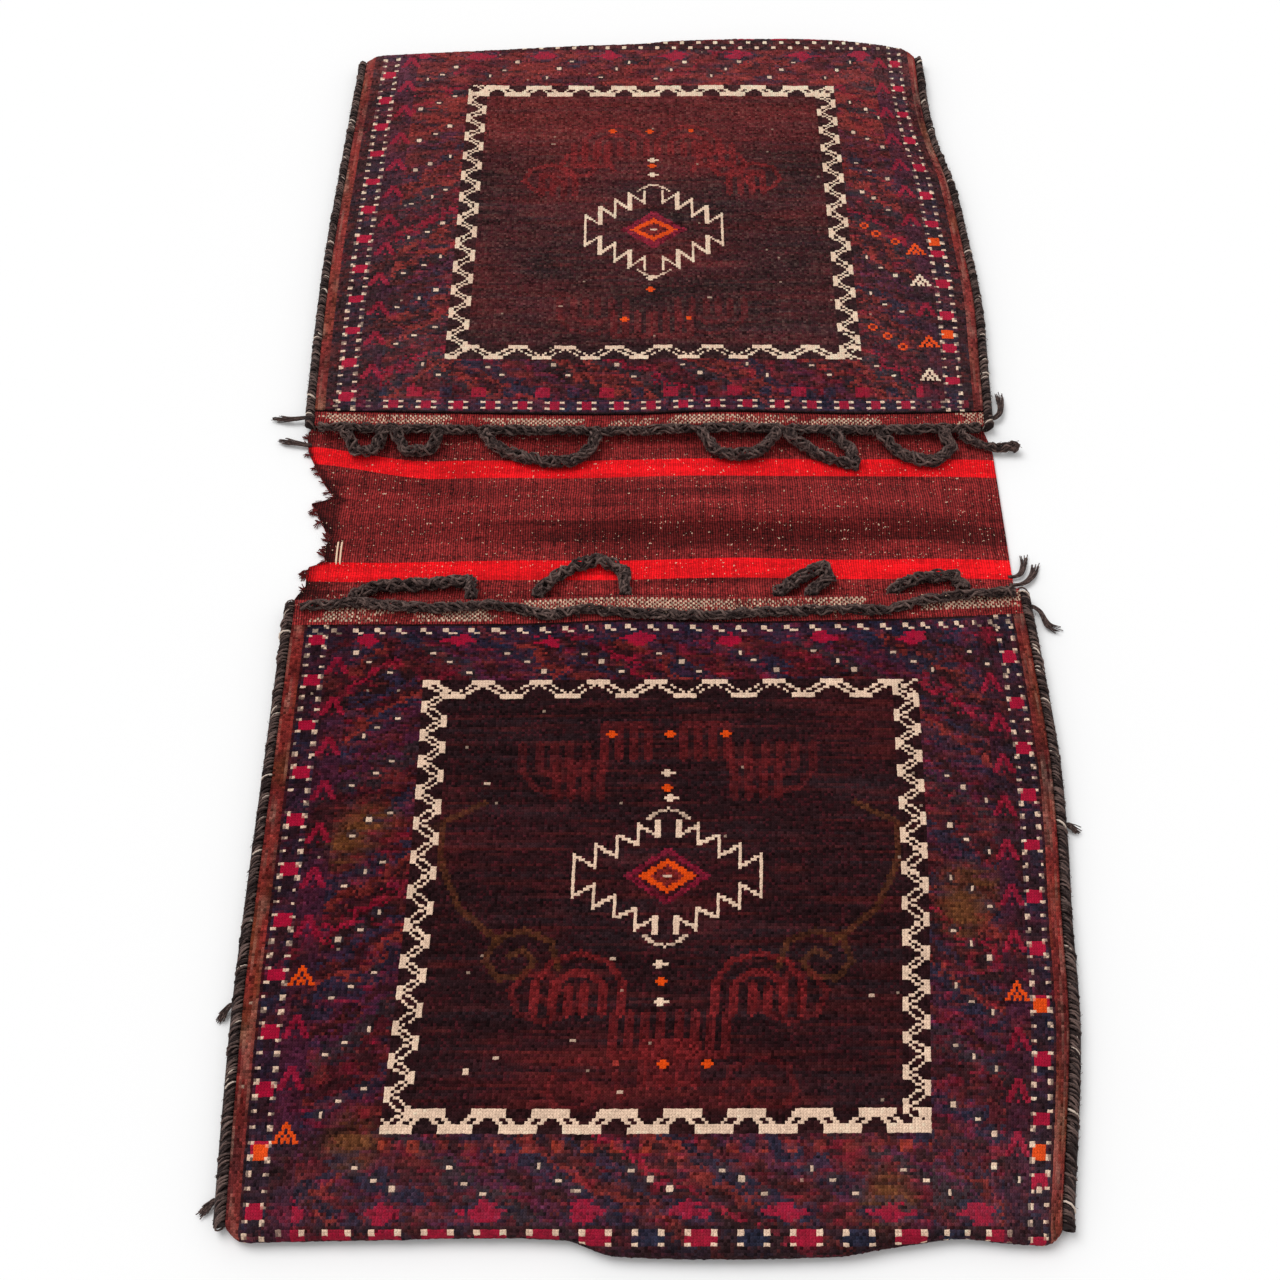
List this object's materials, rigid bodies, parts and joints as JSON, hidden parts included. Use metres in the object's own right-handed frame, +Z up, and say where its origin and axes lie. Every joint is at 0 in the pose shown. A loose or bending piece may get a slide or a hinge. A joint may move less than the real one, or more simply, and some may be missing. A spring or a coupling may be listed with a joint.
{
  "type": "kilim saddle bag",
  "caption": "Flat woven saddle bag with two piled pockets joined by a striped bridge, overcast side seams, mouth cords and closing loops.",
  "frame": {"origin": "under the middle of the bridge, on the flat underside of the strip", "axes": "+X across the strip to the right, +Y along the strip towards the far pocket, +Z up from the ground"},
  "size_m": [0.6761, 1.2792, 0.0201],
  "materials": {
    "woven_wool": "knotted wool pile and flat weave, matte",
    "goat_hair": "coarse overcast goat hair, matte",
    "hair_cord": "twisted goat hair cord, fuzzy and matte",
    "frayed_yarn": "frayed yarn ends, matte"
  },
  "bodies": {
    "root": {"woven_panel": "woven_wool", "seam_far_left": "goat_hair", "seam_far_right": "goat_hair", "seam_near_left": "goat_hair", "seam_near_right": "goat_hair", "mouth_cord_far": "hair_cord", "mouth_cord_near": "hair_cord", "loop_far_1": "hair_cord", "loop_far_2": "hair_cord", "loop_far_3": "hair_cord", "loop_far_4": "hair_cord", "loop_far_5": "hair_cord", "loop_far_6": "hair_cord", "loop_far_7": "hair_cord", "loop_near_1": "hair_cord", "loop_near_2": "hair_cord", "loop_near_3": "hair_cord", "loop_near_4": "hair_cord", "tail_far_left_upper": "frayed_yarn", "tail_far_left_lower": "frayed_yarn", "tail_far_right": "frayed_yarn", "tassel_near_right_inner": "frayed_yarn", "tassel_near_right_outer": "frayed_yarn", "tassel_near_right_curl": "frayed_yarn", "tuft_near_left": "frayed_yarn", "tuft_near_right": "frayed_yarn", "tuft_corner_left": "frayed_yarn"}
  },
  "joints": []
}
